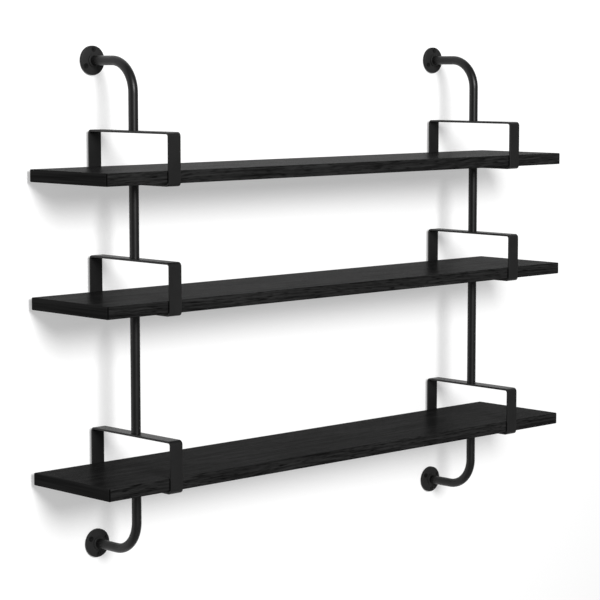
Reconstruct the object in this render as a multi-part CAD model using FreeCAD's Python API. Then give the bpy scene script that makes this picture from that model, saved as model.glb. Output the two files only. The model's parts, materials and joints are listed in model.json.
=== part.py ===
"""Wall-hung pipe shelving unit: three boards in flat-bar straps, carried by two pipe frames.

The origin lies on the wall face, midway between the four flanges. +X runs along the boards,
+Y points into the wall and +Z is up. Lengths are in millimetres.
"""
import FreeCAD
import Part
import math
import os

Vector = FreeCAD.Vector

# Boards: three equal planks with slightly eased edges
board_length = 950.0
board_depth = 170.0
board_thickness = 18.0
board_edge_radius = 1.5
board_overhang = 118.0  # board end to the nearest pipe's centre line

# Straps: flat bar bent to a closed loop round each board
strap_width = 22.0
strap_thickness = 3.0
strap_inner_radius = 3.0
strap_edge_chamfer = 0.4  # broken edges of the bar
strap_headroom = 50.0  # board top to the underside of the upper bar
strap_side_clearance = 1.0  # board edge to the strap's leg
strap_wall_gap = 4.0  # strap's rear leg to the wall

# Tubes: cut square between the straps, or bent back to the wall above and below
tube_diameter = 14.0
tube_wall = 1.5
short_tube_length = 105.0  # top strap to middle strap
long_tube_length = 175.0  # middle strap to bottom strap
bend_straight = 53.0  # strap to the start of the bend
bend_radius = 45.0  # at the tube's centre line
tube_end_setback = 1.0  # wall face to the end of a bent tube

# Wall flanges: domed round plates with a collar round the tube
flange_diameter = 42.0
flange_rim = 4.5
flange_edge_radius = 1.0
flange_dome = 1.2  # rise of the face between rim and collar
flange_dome_mid_share = 0.65  # part of that rise reached halfway in
collar_wall = 2.5
collar_height = 2.0
collar_edge_radius = 0.8
tube_fit = 0.1  # radial play of a tube in its collar and of a plug in its tube

# Screws: one countersunk pattern, sized from the thread
screw_head_share = 1.85  # head over thread diameter
screw_head_rim_share = 0.05  # straight edge of the head over thread diameter
screw_neck_share = 0.8  # neck of a wood screw over thread diameter
screw_point_share = 1.5  # length of a wood screw's point over thread diameter
screw_play = 0.2  # radial room round a screw in its hole
cross_arm_shares = (0.6, 0.16, 0.17)  # cross recess: length, width, depth over head diameter
socket_sides = 6
socket_shares = (0.19, 0.2)  # hexagon socket: corner radius, depth over head diameter

wall_screw_diameter = 4.0
wall_screw_length = 40.0
wall_screw_count = 3  # per flange
wall_screw_circle_share = 0.54  # place on the flange's land, from collar to rim

joint_screw_diameter = 5.0
plug_length = 15.0  # threaded plug in a tube end
joint_screw_bite_share = 0.85  # part of the plug that the screw fills

board_screw_diameter = 3.5
board_screw_bite_share = 0.65  # part of the board's thickness that the screw enters
board_screw_place_share = 0.6  # place between the pipe and the board's edge
spacer_thickness = 1.0  # washer between strap and board
spacer_diameter = 14.0

cut_overrun = 5.0  # how far a cutting tool starts outside the piece

# Places worked out from the sizes above
full_turn = 360.0
strap_inner_depth = board_depth + 2 * strap_side_clearance
strap_depth = strap_inner_depth + 2 * strap_thickness
strap_inner_height = spacer_thickness + board_thickness + strap_headroom
strap_height = strap_inner_height + 2 * strap_thickness
pipe_y = -(strap_depth / 2 + strap_wall_gap)
bend_rise = bend_straight + bend_radius
frame_x = {"left": -(board_length / 2 - board_overhang), "right": board_length / 2 - board_overhang}
flange_z = (2 * bend_rise + 3 * strap_height + short_tube_length + long_tube_length) / 2
top_strap_z = flange_z - bend_rise - strap_height
middle_strap_z = top_strap_z - short_tube_length - strap_height
bottom_strap_z = middle_strap_z - long_tube_length - strap_height
strap_z = {"top": top_strap_z, "middle": middle_strap_z, "bottom": bottom_strap_z}
collar_radius = tube_diameter / 2 + tube_fit + collar_wall
wall_screw_radius = collar_radius + wall_screw_circle_share * (flange_diameter / 2 - collar_radius)
board_screw_offset = board_screw_place_share * board_depth / 2
board_screw_length = strap_thickness + spacer_thickness + board_screw_bite_share * board_thickness
joint_screw_length = strap_thickness + joint_screw_bite_share * plug_length
up = Vector(0, 0, 1)
down = Vector(0, 0, -1)
into_wall = Vector(0, 1, 0)
out_of_wall = Vector(0, -1, 0)


def turned(edges):
    """Solid of revolution about Z from a closed outline in the XZ plane."""
    return Part.Face(Part.Wire(edges)).revolve(Vector(), up, full_turn)


def closed_outline(points):
    """Straight edges through (radius, height) points and back to the first."""
    corners = [Vector(radius, 0, height) for radius, height in points]
    return Part.makePolygon(corners + corners[:1]).Edges


def placed(shape, position, direction):
    """Copy of a shape made along Z from the origin, set at a position along a direction."""
    copy = shape.copy()
    copy.Placement = FreeCAD.Placement(position, FreeCAD.Rotation(up, direction))
    return copy


def line(start, end):
    return Part.LineSegment(start, end).toShape()


def arc(start, middle, end):
    return Part.Arc(start, middle, end).toShape()


def ring(outer_radius, inner_radius, length, base):
    """Round bar with a bore, standing on a base point."""
    return Part.makeCylinder(outer_radius, length, base).cut(Part.makeCylinder(inner_radius, length, base))


def head_outline(diameter, shank_radius):
    """Countersunk head at 90 degrees, from its top down to the shank."""
    head_radius = diameter * screw_head_share / 2
    rim = diameter * screw_head_rim_share
    return [(0, 0), (head_radius, 0), (head_radius, rim), (shank_radius, rim + head_radius - shank_radius)]


def cross_recess(diameter):
    """Two crossed slots for the driver, sunk into the head."""
    length, width, depth = (share * diameter * screw_head_share for share in cross_arm_shares)
    slot = Part.makeBox(length, width, depth + cut_overrun, Vector(-length / 2, -width / 2, -cut_overrun))
    return slot.fuse(placed(slot, Vector(), up).rotated(Vector(), up, full_turn / 4))


def hexagon_socket(diameter):
    """Six-sided socket for the key, sunk into the head."""
    corner_radius, depth = (share * diameter * screw_head_share for share in socket_shares)
    first = Vector(corner_radius, 0, -cut_overrun)
    turns = [FreeCAD.Rotation(up, side * full_turn / socket_sides) for side in range(socket_sides + 1)]
    face = Part.Face(Part.makePolygon([turn.multVec(first) for turn in turns]))
    return face.extrude(Vector(0, 0, depth + cut_overrun))


def wood_screw(diameter, neck_length, length):
    """Pointed countersunk screw along +Z, head top at the origin, with a thin neck."""
    neck_radius = diameter * screw_neck_share / 2
    thread_radius = diameter / 2
    thread_end = length - diameter * screw_point_share
    outline = head_outline(diameter, neck_radius)
    outline += [(neck_radius, neck_length), (thread_radius, neck_length)]
    outline += [(thread_radius, thread_end), (0, length)]
    return turned(closed_outline(outline)).cut(cross_recess(diameter))


def machine_screw(diameter, length):
    """Flat-ended countersunk screw along +Z, head top at the origin."""
    outline = head_outline(diameter, diameter / 2) + [(diameter / 2, length), (0, length)]
    return turned(closed_outline(outline)).cut(hexagon_socket(diameter))


def countersunk_hole(diameter, depth):
    """Cutting tool for a screw's hole, with the screw's play all round."""
    shank_radius = diameter / 2 + screw_play
    _, top_edge, rim_edge, cone_end = head_outline(diameter, diameter / 2)
    mouth_radius = top_edge[0] + screw_play
    bottom = depth + cut_overrun
    points = [(0, -cut_overrun), (mouth_radius, -cut_overrun), (mouth_radius, rim_edge[1])]
    points += [(shank_radius, cone_end[1]), (shank_radius, bottom), (0, bottom)]
    return turned(closed_outline(points))


def board_screw_places(side):
    """Front and rear screw of one strap, as X and Y."""
    return [(frame_x[side], pipe_y - board_screw_offset), (frame_x[side], pipe_y + board_screw_offset)]


def board(level):
    """Plank with eased edges and blind pilot holes from below."""
    low = strap_z[level] + strap_thickness + spacer_thickness
    corner = Vector(-board_length / 2, pipe_y - board_depth / 2, low)
    plank = Part.makeBox(board_length, board_depth, board_thickness, corner)
    plank = plank.makeFillet(board_edge_radius, plank.Edges)
    pilot_radius = board_screw_diameter / 2 + screw_play
    pilot_depth = board_screw_bite_share * board_thickness + screw_play
    for side in frame_x:
        for x, y in board_screw_places(side):
            start = Vector(x, y, low - cut_overrun)
            plank = plank.cut(Part.makeCylinder(pilot_radius, pilot_depth + cut_overrun, start))
    return plank


def rounded_block(x, width, depth, low, height, radius):
    """Block round the pipe's axis with its four edges along X rounded."""
    block = Part.makeBox(width, depth, height, Vector(x - width / 2, pipe_y - depth / 2, low))
    long_edges = [edge for edge in block.Edges if edge.Vertexes[0].X != edge.Vertexes[-1].X]
    return block.makeFillet(radius, long_edges)


def strap(level, side):
    """Closed flat-bar loop with broken edges, drilled for two joint screws and two board screws."""
    x = frame_x[side]
    low = strap_z[level]
    outer_radius = strap_inner_radius + strap_thickness
    outer = rounded_block(x, strap_width, strap_depth, low, strap_height, outer_radius)
    hollow_width = strap_width + 2 * cut_overrun
    hollow_low = low + strap_thickness
    hollow_sizes = (hollow_width, strap_inner_depth, hollow_low, strap_inner_height, strap_inner_radius)
    loop = outer.cut(rounded_block(x, *hollow_sizes))
    side_edges = [edge for edge in loop.Edges if edge.BoundBox.XLength < strap_edge_chamfer]
    loop = loop.makeChamfer(strap_edge_chamfer, side_edges)
    joint_hole = countersunk_hole(joint_screw_diameter, strap_thickness)
    for position, direction in joint_screw_places(level, side):
        loop = loop.cut(placed(joint_hole, position, direction))
    board_hole = countersunk_hole(board_screw_diameter, strap_thickness)
    for place_x, place_y in board_screw_places(side):
        loop = loop.cut(placed(board_hole, Vector(place_x, place_y, low), up))
    return loop


def joint_screw_places(level, side):
    """Head position and direction of a strap's upper and lower joint screw, both inside the loop."""
    x = frame_x[side]
    lower_face = strap_z[level] + strap_thickness
    upper_face = lower_face + strap_inner_height
    return [(Vector(x, pipe_y, upper_face), up), (Vector(x, pipe_y, lower_face), down)]


def straight_tube(side, low, length):
    """Tube cut square at both ends."""
    radius = tube_diameter / 2
    return ring(radius, radius - tube_wall, length, Vector(frame_x[side], pipe_y, low))


def bent_tube(side, start, way):
    """Tube that leaves a strap upwards (way 1) or downwards (way -1) and bends back to the wall."""
    x = frame_x[side]
    bend_start = start + way * bend_straight
    bend_end = start + way * bend_rise
    half_bend = math.radians(full_turn / 8)
    middle_y = pipe_y + bend_radius * (1 - math.cos(half_bend))
    middle_z = bend_start + way * bend_radius * math.sin(half_bend)
    foot = Vector(x, pipe_y, start)
    knee = Vector(x, pipe_y, bend_start)
    elbow = Vector(x, pipe_y + bend_radius, bend_end)
    wall_end = Vector(x, -tube_end_setback, bend_end)
    bend = arc(knee, Vector(x, middle_y, middle_z), elbow)
    path = Part.Wire([line(foot, knee), bend, line(elbow, wall_end)])
    radius = tube_diameter / 2
    skins = []
    for section_radius in (radius, radius - tube_wall):
        section = Part.Wire(Part.makeCircle(section_radius, foot, up))
        skins.append(path.makePipeShell([section], True, False))
    return skins[0].cut(skins[1])


def flange_outline():
    """Half section of a flange: flat back, rounded rim, domed face and collar."""
    bore = tube_diameter / 2 + tube_fit
    rim = flange_diameter / 2
    face = flange_rim + flange_dome
    top = face + collar_height
    slant = math.sqrt(0.5)
    rim_back = Vector(rim, 0, 0)
    rim_low = Vector(rim, 0, flange_rim - flange_edge_radius)
    rim_top = Vector(rim - flange_edge_radius, 0, flange_rim)
    rim_slant = slant * flange_edge_radius
    rim_middle = Vector(rim_top.x + rim_slant, 0, rim_low.z + rim_slant)
    collar_foot = Vector(collar_radius, 0, face)
    dome_height = flange_rim + flange_dome_mid_share * flange_dome
    dome_middle = Vector((rim_top.x + collar_radius) / 2, 0, dome_height)
    collar_low = Vector(collar_radius, 0, top - collar_edge_radius)
    collar_top = Vector(collar_radius - collar_edge_radius, 0, top)
    collar_slant = slant * collar_edge_radius
    collar_middle = Vector(collar_top.x + collar_slant, 0, collar_low.z + collar_slant)
    bore_top = Vector(bore, 0, top)
    bore_back = Vector(bore, 0, 0)
    return [
        line(bore_back, rim_back),
        line(rim_back, rim_low),
        arc(rim_low, rim_middle, rim_top),
        arc(rim_top, dome_middle, collar_foot),
        line(collar_foot, collar_low),
        arc(collar_low, collar_middle, collar_top),
        line(collar_top, bore_top),
        line(bore_top, bore_back),
    ]


def wall_screw_places(side, way):
    """Head positions on one flange: the first screw points away from the shelves."""
    places = []
    for number in range(wall_screw_count):
        angle = math.radians(way * full_turn / 4 + number * full_turn / wall_screw_count)
        x = frame_x[side] + wall_screw_radius * math.cos(angle)
        z = way * flange_z + wall_screw_radius * math.sin(angle)
        places.append(Vector(x, -flange_rim, z))
    return places


def wall_flange(side, way):
    """Flange at the upper (way 1) or lower (way -1) end of a frame, drilled for its wall screws."""
    plate = placed(turned(flange_outline()), Vector(frame_x[side], 0, way * flange_z), out_of_wall)
    hole = countersunk_hole(wall_screw_diameter, flange_rim)
    for position in wall_screw_places(side, way):
        plate = plate.cut(placed(hole, position, into_wall))
    return plate


def tube_plugs(level, side):
    """Threaded plugs in the tube ends above and below a strap."""
    radius = tube_diameter / 2 - tube_wall - tube_fit
    bore = joint_screw_diameter / 2 + tube_fit
    low = strap_z[level]
    ends = (low + strap_height, low - plug_length)
    return [ring(radius, bore, plug_length, Vector(frame_x[side], pipe_y, end)) for end in ends]


def joint_screws(level, side):
    """Machine screws from inside the loop into the plugs."""
    screw = machine_screw(joint_screw_diameter, joint_screw_length)
    return [placed(screw, position, direction) for position, direction in joint_screw_places(level, side)]


def board_screws(level, side):
    """Wood screws from below, through strap and spacer into the board."""
    neck_length = strap_thickness + spacer_thickness
    screw = wood_screw(board_screw_diameter, neck_length, board_screw_length)
    return [placed(screw, Vector(x, y, strap_z[level]), up) for x, y in board_screw_places(side)]


def board_spacers(level, side):
    """Thin washers round the board screws, between strap and board."""
    hole = board_screw_diameter / 2 + screw_play
    seat = strap_z[level] + strap_thickness
    places = board_screw_places(side)
    return [ring(spacer_diameter / 2, hole, spacer_thickness, Vector(x, y, seat)) for x, y in places]


def wall_screws(side, way):
    """Wood screws of one flange, their threads standing out behind it."""
    screw = wood_screw(wall_screw_diameter, flange_rim, wall_screw_length)
    return [placed(screw, position, into_wall) for position in wall_screw_places(side, way)]


def write_node(name, shapes):
    """One file per node: a single solid, or a group of separate ones."""
    solids = [solid for shape in shapes for solid in shape.Solids]
    node = solids[0] if len(solids) == 1 else Part.makeCompound(solids)
    node.exportStep(f"parts/{name}.step")


os.makedirs("parts", exist_ok=True)
fittings = {
    "tube_plugs": tube_plugs,
    "joint_screws": joint_screws,
    "board_screws": board_screws,
    "board_spacers": board_spacers,
}
for level in strap_z:
    write_node(f"shelf_board_{level}", [board(level)])
    for side in frame_x:
        write_node(f"strap_{level}_{side}", [strap(level, side)])
    for name, make in fittings.items():
        write_node(f"{name}_{level}", [piece for side in frame_x for piece in make(level, side)])
short_tube_z = middle_strap_z + strap_height
long_tube_z = bottom_strap_z + strap_height
for side in frame_x:
    write_node(f"upper_bent_tube_{side}", [bent_tube(side, top_strap_z + strap_height, 1)])
    write_node(f"short_tube_{side}", [straight_tube(side, short_tube_z, short_tube_length)])
    write_node(f"long_tube_{side}", [straight_tube(side, long_tube_z, long_tube_length)])
    write_node(f"lower_bent_tube_{side}", [bent_tube(side, bottom_strap_z, -1)])
    for row, way in (("upper", 1), ("lower", -1)):
        write_node(f"wall_flange_{row}_{side}", [wall_flange(side, way)])
        write_node(f"wall_screws_{row}_{side}", wall_screws(side, way))
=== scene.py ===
import json
import math

import bpy
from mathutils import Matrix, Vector


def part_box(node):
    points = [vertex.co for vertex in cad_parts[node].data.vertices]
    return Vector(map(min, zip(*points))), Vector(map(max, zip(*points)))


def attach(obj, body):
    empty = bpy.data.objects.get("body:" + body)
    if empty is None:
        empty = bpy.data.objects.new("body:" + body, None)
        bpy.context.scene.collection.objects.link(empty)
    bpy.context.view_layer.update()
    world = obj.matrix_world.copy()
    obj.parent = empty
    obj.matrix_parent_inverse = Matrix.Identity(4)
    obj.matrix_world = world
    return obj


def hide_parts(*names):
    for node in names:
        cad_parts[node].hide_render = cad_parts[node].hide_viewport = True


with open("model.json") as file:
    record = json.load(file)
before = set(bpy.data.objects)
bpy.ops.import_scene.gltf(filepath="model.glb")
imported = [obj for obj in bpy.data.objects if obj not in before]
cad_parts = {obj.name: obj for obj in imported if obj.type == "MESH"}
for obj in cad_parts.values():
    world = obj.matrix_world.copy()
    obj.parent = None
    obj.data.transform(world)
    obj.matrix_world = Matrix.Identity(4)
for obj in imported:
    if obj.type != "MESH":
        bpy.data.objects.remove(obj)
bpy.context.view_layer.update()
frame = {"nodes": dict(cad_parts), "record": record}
record = frame["record"]
scene = bpy.context.scene

# Wall flanges: turned steel discs with a domed face and a collar that grips the tube's end.
# They are powder coated satin black, and three countersunk screws hold each one to the wall. Their coat is
# rougher than the tubes' and given a lighter tone, a painted reflection of a bright room on their faces.
noise_low, noise_high = 0.3, 0.7  # range that most of a noise pattern keeps to


def add_node(tree, kind, **inputs):
    """New node in a tree, with named inputs set to plain values or linked to other sockets."""
    node = tree.nodes.new(kind)
    for name, value in inputs.items():
        socket = node.inputs[name.replace("_", " ")]
        if isinstance(value, bpy.types.NodeSocket):
            tree.links.new(value, socket)
        else:
            socket.default_value = value
    return node


def new_material(name):
    """Node material with its shader, and the Object coordinates that its patterns read."""
    material = bpy.data.materials.new(name)
    material.use_nodes = True
    tree = material.node_tree
    shader = tree.nodes["Principled BSDF"]
    place = tree.nodes.new("ShaderNodeTexCoord").outputs["Object"]
    return material, tree, shader, place


def blend_tones(tree, amount, dark, light):
    """Colour between two grey tones by a 0 to 1 amount."""
    ramp = add_node(tree, "ShaderNodeValToRGB", Fac=amount)
    for stop, tone in zip(ramp.color_ramp.elements, (dark, light)):
        stop.color = (tone, tone, tone, 1)
    return ramp.outputs["Color"]


def spread(tree, value, low, high, new_low=0.0, new_high=1.0):
    """Value moved from one range to another and held inside it."""
    ranges = {"From_Min": low, "From_Max": high, "To_Min": new_low, "To_Max": new_high}
    return add_node(tree, "ShaderNodeMapRange", Value=value, **ranges).outputs["Result"]


def thin_coat(name, *, dark, light, roughness, shine, peel_size, peel_depth):
    """Thin even finish, as of baked powder: orange peel that varies the gloss, and faint clouds of tone."""
    cloud_waves = 30.0
    peel_low, peel_high = 0.2, 0.8
    peel_strength = 0.6
    gloss_change = 0.05
    material, tree, shader, place = new_material(name)
    clouds = add_node(tree, "ShaderNodeTexNoise", Vector=place, Scale=cloud_waves, Detail=4.0)
    peel_noise = add_node(tree, "ShaderNodeTexNoise", Vector=place, Scale=1 / peel_size, Detail=2.0)
    peel = peel_noise.outputs["Fac"]
    relief = add_node(tree, "ShaderNodeBump", Strength=peel_strength, Distance=peel_depth, Height=peel)
    tone = spread(tree, clouds.outputs["Fac"], noise_low, noise_high)
    gloss = spread(tree, peel, peel_low, peel_high, roughness - gloss_change, roughness + gloss_change)
    tree.links.new(blend_tones(tree, tone, dark, light), shader.inputs["Base Color"])
    tree.links.new(gloss, shader.inputs["Roughness"])
    tree.links.new(relief.outputs["Normal"], shader.inputs["Normal"])
    shader.inputs["Specular IOR Level"].default_value = shine
    return material


def finish_nodes(start, material):
    """Gives every node whose name begins with a word its finish."""
    for name, node in frame["nodes"].items():
        if name.startswith(start):
            node.material_slots[0].material = material


# Lighter base tone than the tube and strap coats: painted reflection on the flange faces.
flange_black = thin_coat(
    "flange_black", dark=0.013, light=0.018, roughness=0.50, shine=0.17, peel_size=0.0009, peel_depth=0.00004
)
finish_nodes("wall_flange", flange_black)

# Wall screws: black wood screws with a countersunk cross head, a plain neck and a cut thread.
# Three go through each flange, and their threads stand out behind it, where they bite into the wall.
screw_low, screw_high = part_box("wall_screws_upper_left")
screw_sizes = {
    "Head Radius": 0.0037,
    "Head Rim": 0.0002,
    "Neck Radius": 0.0016,
    "Neck Length": -screw_low[1],
    "Core Radius": 0.0014,
    "Thread Radius": 0.002,
    "Thread Pitch": 0.0018,
    "Point Length": 0.006,
    "Length": screw_high[1] - screw_low[1],
    "Slot Length": 0.0048,
    "Slot Width": 0.0014,
    "Slot Depth": 0.0016,
}
mm_per_metre = 1000


def math_node(tree, operation, *values):
    """Result of a sum, product or like of sockets and plain numbers."""
    node = tree.nodes.new("ShaderNodeMath")
    node.operation = operation
    for socket, value in zip(node.inputs, values):
        if isinstance(value, bpy.types.NodeSocket):
            tree.links.new(value, socket)
        else:
            socket.default_value = value
    return node.outputs["Value"]


def screw_tree(turn_steps, depth_steps):
    """Tree that sets a threaded screw into the wall at each given point."""
    tree = bpy.data.node_groups.new("wall_screw", "GeometryNodeTree")
    tree.interface.new_socket("Places", in_out="INPUT", socket_type="NodeSocketGeometry")
    for label in screw_sizes:
        tree.interface.new_socket(label, in_out="INPUT", socket_type="NodeSocketFloat")
    tree.interface.new_socket("Seed", in_out="INPUT", socket_type="NodeSocketInt")
    tree.interface.new_socket("Finish", in_out="INPUT", socket_type="NodeSocketMaterial")
    tree.interface.new_socket("Screws", in_out="OUTPUT", socket_type="NodeSocketGeometry")
    given = tree.nodes.new("NodeGroupInput").outputs

    # A unit sheet is wrapped round the axis: its width is the turn, its length the depth.
    # Its first row shrinks to the middle of the head, and the last one to the tip.
    sheet = add_node(tree, "GeometryNodeMeshGrid", Size_X=1.0, Size_Y=1.0)
    sheet.inputs["Vertices X"].default_value = turn_steps + 1
    sheet.inputs["Vertices Y"].default_value = depth_steps + 1
    position = tree.nodes.new("GeometryNodeInputPosition").outputs["Position"]
    spot = add_node(tree, "ShaderNodeSeparateXYZ", Vector=position).outputs
    sheet_end = 0.5
    row = 1 / depth_steps
    rim_row = row - sheet_end
    depth = spread(tree, spot["Y"], rim_row, sheet_end, 0.0, given["Length"])

    cone_top = math_node(tree, "ADD", given["Head Radius"], given["Head Rim"])
    cone = math_node(tree, "SUBTRACT", cone_top, depth)
    under_head = math_node(tree, "MAXIMUM", given["Neck Radius"], cone)
    head = math_node(tree, "MINIMUM", given["Head Radius"], under_head)

    # The thread rises from its foot to its crest over part of each half winding.
    half_winding = 0.5
    thread_foot, thread_crest = 0.2, 0.45
    windings = math_node(tree, "DIVIDE", depth, given["Thread Pitch"])
    winding = math_node(tree, "SUBTRACT", windings, spot["X"])
    rise = spread(tree, math_node(tree, "PINGPONG", winding, half_winding), thread_foot, thread_crest)
    cut = math_node(tree, "SUBTRACT", given["Thread Radius"], given["Core Radius"])
    thread = math_node(tree, "MULTIPLY_ADD", rise, cut, given["Core Radius"])
    to_tip = math_node(tree, "SUBTRACT", given["Length"], depth)
    taper = math_node(tree, "MINIMUM", math_node(tree, "DIVIDE", to_tip, given["Point Length"]), 1.0)
    girth = tree.nodes.new("GeometryNodeSwitch")
    girth.input_type = "FLOAT"
    past_neck = math_node(tree, "GREATER_THAN", depth, given["Neck Length"])
    tree.links.new(past_neck, girth.inputs["Switch"])
    tree.links.new(head, girth.inputs["False"])
    tree.links.new(math_node(tree, "MULTIPLY", thread, taper), girth.inputs["True"])
    off_axis = math_node(tree, "GREATER_THAN", spot["Y"], rim_row - row / 2)
    radius = math_node(tree, "MULTIPLY", girth.outputs["Output"], off_axis)
    angle = math_node(tree, "MULTIPLY", spot["X"], math.tau)
    across = math_node(tree, "MULTIPLY", radius, math_node(tree, "COSINE", angle))
    along = math_node(tree, "MULTIPLY", radius, math_node(tree, "SINE", angle))
    wrapped = add_node(tree, "ShaderNodeCombineXYZ", X=across, Y=along, Z=depth)
    turned = add_node(tree, "GeometryNodeSetPosition", Geometry=sheet.outputs["Mesh"])
    tree.links.new(wrapped.outputs["Vector"], turned.inputs["Position"])
    seam_gap = 1e-6
    body = add_node(tree, "GeometryNodeMergeByDistance", Geometry=turned.outputs["Geometry"])
    body.inputs["Distance"].default_value = seam_gap

    # Two tapered blades, which start a little before the head, cut the cross recess.
    blade_radius = math.sqrt(0.5)
    blade_taper = 0.45
    blade_start = -0.1
    quarter_turn = math.radians(90)
    blade = add_node(tree, "GeometryNodeMeshCone", Vertices=4, Depth=1.0)
    blade.inputs["Radius Bottom"].default_value = blade_radius
    blade.inputs["Radius Top"].default_value = blade_taper * blade_radius
    squared = add_node(tree, "GeometryNodeTransform", Geometry=blade.outputs["Mesh"])
    squared.inputs["Rotation"].default_value = (0, 0, quarter_turn / 2)
    squared.inputs["Translation"].default_value = (0, 0, blade_start)
    slot_sides = {"X": given["Slot Length"], "Y": given["Slot Width"], "Z": given["Slot Depth"]}
    slot_box = add_node(tree, "ShaderNodeCombineXYZ", **slot_sides)
    slot = add_node(tree, "GeometryNodeTransform", Geometry=squared.outputs["Geometry"])
    tree.links.new(slot_box.outputs["Vector"], slot.inputs["Scale"])
    crossed = add_node(tree, "GeometryNodeTransform", Geometry=slot.outputs["Geometry"])
    crossed.inputs["Rotation"].default_value = (0, 0, quarter_turn)
    recess = tree.nodes.new("GeometryNodeMeshBoolean")
    recess.operation = "DIFFERENCE"
    recess.solver = "EXACT"
    tree.links.new(body.outputs["Geometry"], recess.inputs["Mesh 1"])
    tree.links.new(slot.outputs["Geometry"], recess.inputs["Mesh 2"])
    tree.links.new(crossed.outputs["Geometry"], recess.inputs["Mesh 2"])

    # Round faces are shaded smooth, and edges that turn more than the crease angle stay sharp.
    crease = math.radians(35)
    smooth = add_node(tree, "GeometryNodeSetShadeSmooth", Geometry=recess.outputs["Mesh"], Shade_Smooth=True)
    bend = tree.nodes.new("GeometryNodeInputMeshEdgeAngle").outputs["Unsigned Angle"]
    sharp = math_node(tree, "GREATER_THAN", bend, crease)
    creased = add_node(tree, "GeometryNodeSetShadeSmooth", Geometry=smooth.outputs["Geometry"])
    tree.links.new(sharp, creased.inputs["Selection"])
    creased.domain = "EDGE"
    creased.inputs["Shade Smooth"].default_value = False

    # Each screw points along +Y, driven home at its own turn.
    turns = tree.nodes.new("FunctionNodeRandomValue")
    turns.data_type = "FLOAT_VECTOR"
    turns.inputs["Min"].default_value = (-quarter_turn, 0, 0)
    turns.inputs["Max"].default_value = (-quarter_turn, math.tau, 0)
    tree.links.new(given["Seed"], turns.inputs["Seed"])
    driven = add_node(tree, "GeometryNodeInstanceOnPoints", Points=given["Places"])
    tree.links.new(creased.outputs["Geometry"], driven.inputs["Instance"])
    tree.links.new(turns.outputs["Value"], driven.inputs["Rotation"])
    made = add_node(tree, "GeometryNodeRealizeInstances", Geometry=driven.outputs["Instances"])
    painted = add_node(tree, "GeometryNodeSetMaterial", Geometry=made.outputs["Geometry"])
    tree.links.new(given["Finish"], painted.inputs["Material"])
    end = tree.nodes.new("NodeGroupOutput")
    tree.links.new(painted.outputs["Geometry"], end.inputs["Screws"])
    return tree


def grown_on_points(name, points, tree, settings):
    """Plain mesh of what a tree makes on points."""
    mesh = bpy.data.meshes.new(name)
    mesh.from_pydata(points, [], [])
    piece = bpy.data.objects.new(name, mesh)
    scene.collection.objects.link(piece)
    modifier = piece.modifiers.new(name, "NODES")
    modifier.node_group = tree
    for socket in tree.interface.items_tree:
        if socket.name in settings:
            modifier[socket.identifier] = settings[socket.name]
    graph = bpy.context.evaluated_depsgraph_get()
    made = bpy.data.meshes.new_from_object(piece.evaluated_get(graph))
    piece.modifiers.remove(modifier)
    piece.data = made
    return piece


screw_places = []
for mount in record["mounts"]:
    if mount["name"].endswith("flange_screws"):
        centre = Vector(mount["pos_m"])
        circle = mount["dims"]["pcd_mm"] / 2 / mm_per_metre
        away = math.copysign(math.pi / 2, centre.z)
        for number in range(mount["dims"]["count"]):
            angle = away + number * math.tau / mount["dims"]["count"]
            reach = Vector((math.cos(angle), 0, math.sin(angle))) * circle
            screw_places.append(centre + reach + Vector((0, screw_low[1], 0)))
screw_black = thin_coat(
    "screw_black", dark=0.006, light=0.009, roughness=0.22, shine=0.30, peel_size=0.0004, peel_depth=0.00001
)
screw_settings = {**screw_sizes, "Seed": 4, "Finish": screw_black}
threaded_screw = screw_tree(turn_steps=20, depth_steps=200)
wall_screws = grown_on_points("wall_screws", screw_places, threaded_screw, screw_settings)
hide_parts(*(name for name in frame["nodes"] if name.startswith("wall_screws")))
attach(wall_screws, "root")

# Tubes: round steel tube, cut square between the straps and bent to the wall at top and bottom.
# They are powder coated too, and smoother than the flanges; they read darker than the flanges because the
# flanges' lighter tone is a painted reflection.
tube_black = thin_coat(
    "tube_black", dark=0.0035, light=0.006, roughness=0.37, shine=0.28, peel_size=0.0011, peel_depth=0.00003
)
for tube in ("upper_bent_tube", "short_tube", "long_tube", "lower_bent_tube"):
    finish_nodes(tube, tube_black)

# Tube plugs and joint screws: zinc plated plugs with a thread, pressed into the tube ends.
# A black socket screw from inside each strap pulls the tube tight against the bar.
zinc = thin_coat(
    "zinc", dark=0.42, light=0.5, roughness=0.35, shine=0.5, peel_size=0.0008, peel_depth=0.00001
)
zinc.node_tree.nodes["Principled BSDF"].inputs["Metallic"].default_value = 1.0
finish_nodes("tube_plugs", zinc)
finish_nodes("joint_screws", screw_black)

# Straps: flat bar bent to closed loops round the boards, welded shut and powder coated.
# The upper bar of each loop stands clear above the board, and the lower bar carries it.
strap_black = thin_coat(
    "strap_black", dark=0.005, light=0.008, roughness=0.45, shine=0.27, peel_size=0.0010, peel_depth=0.00004
)
finish_nodes("strap", strap_black)

# Boards: oak planks stained black through the open grain and left satin.
# Rings, fibres and pores run along the length, and a thin lipping glued across each end hides
# the end grain; the lipping's own ends soak up stain and show as a dark line at the corners.
board_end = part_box("shelf_board_top")[1][0]
lipping = 0.0022
lipping_joint = 0.0003


def stretched_noise(tree, place, stretch, detail):
    """Noise drawn out by a different amount along each axis, given as waves per metre."""
    drawn = add_node(tree, "ShaderNodeMapping", Vector=place, Scale=stretch).outputs["Vector"]
    return add_node(tree, "ShaderNodeTexNoise", Vector=drawn, Scale=1.0, Detail=detail).outputs["Fac"]


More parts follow.
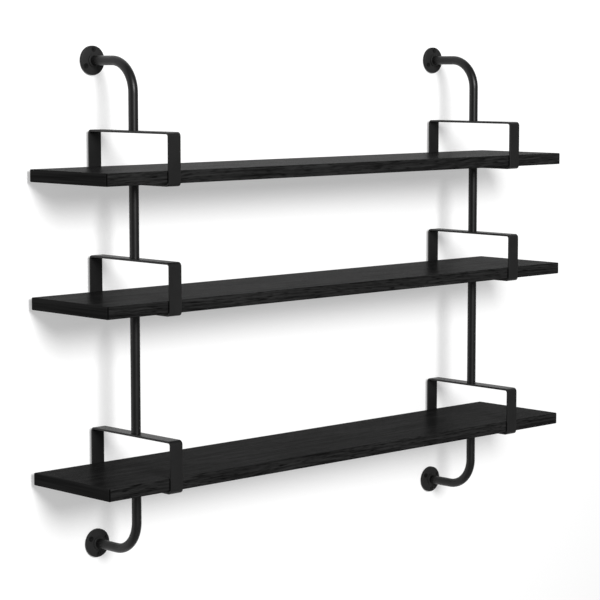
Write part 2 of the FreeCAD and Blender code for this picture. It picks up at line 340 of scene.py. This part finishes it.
def stained_oak(name, pith, tilt):
    """Plank cut beside a pith line that runs nearly along X: rings, fibres, pores and uneven stain."""
    material, tree, shader, place = new_material(name)
    to_pith = add_node(tree, "ShaderNodeMapping", Vector=place, Location=(0, -pith[0], -pith[1]))
    to_pith.inputs["Rotation"].default_value = (0, math.radians(tilt[0]), math.radians(tilt[1]))
    grown = to_pith.outputs["Vector"]
    sway_waves, cloud_waves = (2.2, 14, 14), (7, 30, 30)
    fibre_waves, pore_waves = (4, 420, 420), (45, 1300, 1300)
    pore_low, pore_high = 0.36, 0.46
    sway = stretched_noise(tree, grown, sway_waves, detail=5.0)
    cloud_noise = stretched_noise(tree, grown, cloud_waves, detail=3.0)
    cloud = spread(tree, cloud_noise, noise_low, noise_high)
    fibre_noise = stretched_noise(tree, grown, fibre_waves, detail=5.0)
    fibre = spread(tree, fibre_noise, noise_low, noise_high)
    pore_noise = stretched_noise(tree, grown, pore_waves, detail=1.0)
    solid = spread(tree, pore_noise, pore_low, pore_high)

    # Year rings lie round the pith line and sway, passing from early to late wood and back.
    ring_gap = 0.0022
    ring_sway = 0.04
    late_start, late_end = 0.1 * ring_gap, 0.85 * ring_gap
    axes = add_node(tree, "ShaderNodeSeparateXYZ", Vector=grown).outputs
    height_square = math_node(tree, "MULTIPLY", axes["Z"], axes["Z"])
    squares = math_node(tree, "MULTIPLY_ADD", axes["Y"], axes["Y"], height_square)
    ring_place = math_node(tree, "MULTIPLY_ADD", sway, ring_sway, math_node(tree, "SQRT", squares))
    late = spread(tree, math_node(tree, "PINGPONG", ring_place, ring_gap), late_start, late_end)
    ring_share, fibre_share, cloud_share = 0.25, 0.45, 0.3
    fibres = math_node(tree, "MULTIPLY", fibre, fibre_share)
    rings = math_node(tree, "MULTIPLY_ADD", late, ring_share, fibres)
    stain = math_node(tree, "MULTIPLY_ADD", cloud, cloud_share, rings)
    grain = math_node(tree, "MULTIPLY", stain, solid)

    # The lipping's grain runs across the board, and its ends on the long faces are dark.
    along = add_node(tree, "ShaderNodeSeparateXYZ", Vector=place).outputs["X"]
    from_middle = math_node(tree, "ABSOLUTE", along)
    lipping_start = board_end - lipping
    at_end = spread(tree, from_middle, lipping_start - lipping_joint, lipping_start)
    cross_waves = (300, 7, 420)
    cross_low, cross_high = 0.35, 0.95
    cross_noise = stretched_noise(tree, place, cross_waves, detail=4.0)
    cross = spread(tree, cross_noise, noise_low, noise_high, cross_low, cross_high)
    change = math_node(tree, "SUBTRACT", cross, grain)
    figure = math_node(tree, "MULTIPLY_ADD", change, at_end, grain)
    normal = tree.nodes.new("ShaderNodeNewGeometry").outputs["Normal"]
    facing = add_node(tree, "ShaderNodeSeparateXYZ", Vector=normal).outputs
    turned_away, turned_to = 0.4, 0.6
    long_face = spread(tree, math_node(tree, "ABSOLUTE", facing["Y"]), turned_away, turned_to)
    soaked = spread(tree, math_node(tree, "MULTIPLY", at_end, long_face), 0.0, 1.0, 1.0, 0.0)
    lit = math_node(tree, "MULTIPLY", figure, soaked)

    darkest, palest = 0.003, 0.029
    open_roughness, fibre_roughness = 0.36, 0.28
    relief = add_node(tree, "ShaderNodeBump", Strength=0.35, Distance=0.0002, Height=figure)
    tree.links.new(blend_tones(tree, lit, darkest, palest), shader.inputs["Base Color"])
    roughness = spread(tree, fibre, 0.0, 1.0, open_roughness, fibre_roughness)
    tree.links.new(roughness, shader.inputs["Roughness"])
    tree.links.new(relief.outputs["Normal"], shader.inputs["Normal"])
    shader.inputs["Specular IOR Level"].default_value = 0.0008
    return material


# Each board has its own place of the pith in Y and Z, and its own tilts to it in degrees.
board_cuts = {
    "top": {"pith": (-0.06, 0.06), "tilt": (1.2, 0.9)},
    "middle": {"pith": (-0.12, -0.09), "tilt": (-1.0, 0.7)},
    "bottom": {"pith": (-0.08, -0.32), "tilt": (0.8, -1.1)},
}
for level, cut in board_cuts.items():
    finish_nodes(f"shelf_board_{level}", stained_oak(f"oak_{level}", **cut))

# Board screws and spacers: short black wood screws from below, four to a board.
# A nylon washer round each one keeps the board off the coated bar.
finish_nodes("board_screws", screw_black)
nylon_black = thin_coat(
    "nylon_black", dark=0.020, light=0.026, roughness=0.6, shine=0.3, peel_size=0.0006, peel_depth=0.00002
)
finish_nodes("board_spacers", nylon_black)

# Wall and floor: a white painted wall that carries the unit, and a pale floor well below it.
# Both are open from behind, so that the unit's back can be seen through the wall.
wall_half_width = 8.0
wall_back = 0.001
wall_height = 8.0
floor_z = -1.1
floor_reach = 12.0


def plain_sheet(name, corners, material):
    """Flat four-cornered sheet of the room."""
    mesh = bpy.data.meshes.new(name)
    mesh.from_pydata(corners, [], [(0, 1, 2, 3)])
    mesh.materials.append(material)
    sheet = bpy.data.objects.new(name, mesh)
    scene.collection.objects.link(sheet)


def room_paint(name, shade, glow):
    """Matt paint with a glow that lifts it, seen from the front and in reflections only."""
    material = bpy.data.materials.new(name)
    material.use_nodes = True
    tree = material.node_tree
    tree.nodes.remove(tree.nodes["Principled BSDF"])
    paint = add_node(tree, "ShaderNodeBsdfDiffuse", Color=(shade, shade, shade, 1))
    shine = add_node(tree, "ShaderNodeEmission", Color=(1, 1, 1, 1), Strength=glow)
    seen = tree.nodes.new("ShaderNodeAddShader")
    tree.links.new(paint.outputs["BSDF"], seen.inputs[0])
    tree.links.new(shine.outputs["Emission"], seen.inputs[1])
    path = tree.nodes.new("ShaderNodeLightPath").outputs
    direct = math_node(tree, "MAXIMUM", path["Is Camera Ray"], path["Is Glossy Ray"])
    looked_at = math_node(tree, "MAXIMUM", direct, path["Is Transmission Ray"])
    behind = tree.nodes.new("ShaderNodeNewGeometry").outputs["Backfacing"]
    front = math_node(tree, "MULTIPLY", looked_at, math_node(tree, "SUBTRACT", 1.0, behind))
    clear = tree.nodes.new("ShaderNodeBsdfTransparent")
    choice = add_node(tree, "ShaderNodeMixShader", Fac=front)
    tree.links.new(clear.outputs["BSDF"], choice.inputs[1])
    tree.links.new(seen.outputs["Shader"], choice.inputs[2])
    tree.links.new(choice.outputs["Shader"], tree.nodes["Material Output"].inputs["Surface"])
    return material


wall_corners = [
    (-wall_half_width, wall_back, floor_z),
    (wall_half_width, wall_back, floor_z),
    (wall_half_width, wall_back, floor_z + wall_height),
    (-wall_half_width, wall_back, floor_z + wall_height),
]
plain_sheet("wall", wall_corners, room_paint("wall_white", shade=0.64, glow=0.38))
floor_corners = [
    (-floor_reach, -floor_reach, floor_z),
    (floor_reach, -floor_reach, floor_z),
    (floor_reach, wall_back, floor_z),
    (-floor_reach, wall_back, floor_z),
]
plain_sheet("floor", floor_corners, room_paint("floor_pale", shade=0.6, glow=0.13))

# Light: one broad round lamp in front of the wall, above the unit and a little to its left,
# and an even pale room all round that fills the shadows.
scene.view_settings.view_transform = "Standard"
lamp = bpy.data.lights.new("soft_lamp", "AREA")
lamp.shape = "DISK"
lamp.size = 1.76
lamp.energy = 34.0
lamp.spread = math.radians(60)
lamp_stand = bpy.data.objects.new("soft_lamp", lamp)
lamp_stand.location = (-1.39, -4.72, 1.62)
lamp_aim = Vector((0, 0, 0.3))
lamp_stand.rotation_euler = (lamp_aim - lamp_stand.location).to_track_quat("-Z", "Y").to_euler()
lamp_stand.visible_camera = False
scene.collection.objects.link(lamp_stand)
world = bpy.data.worlds.new("room")
world.use_nodes = True
background = world.node_tree.nodes["Background"]
background.inputs["Color"].default_value = (1, 1, 1, 1)
background.inputs["Strength"].default_value = 0.33
scene.world = world

# Camera: level with the upper flanges, to the left of the unit and well away from it.
# A long lens with no shift, turned down to the unit's middle.
camera_data = bpy.data.cameras.new("camera")
camera_data.lens = 132.1
camera_data.sensor_width = 36.0
camera = bpy.data.objects.new("camera", camera_data)
camera.location = (-2.3305, -2.4896, 0.35)
level_tilt = 90.0
camera_drop = 6.204
camera_roll = 0.02
camera_turn = -43.787
camera_angles = (level_tilt - camera_drop, camera_roll, camera_turn)
camera.rotation_euler = [math.radians(angle) for angle in camera_angles]
scene.collection.objects.link(camera)
scene.camera = camera
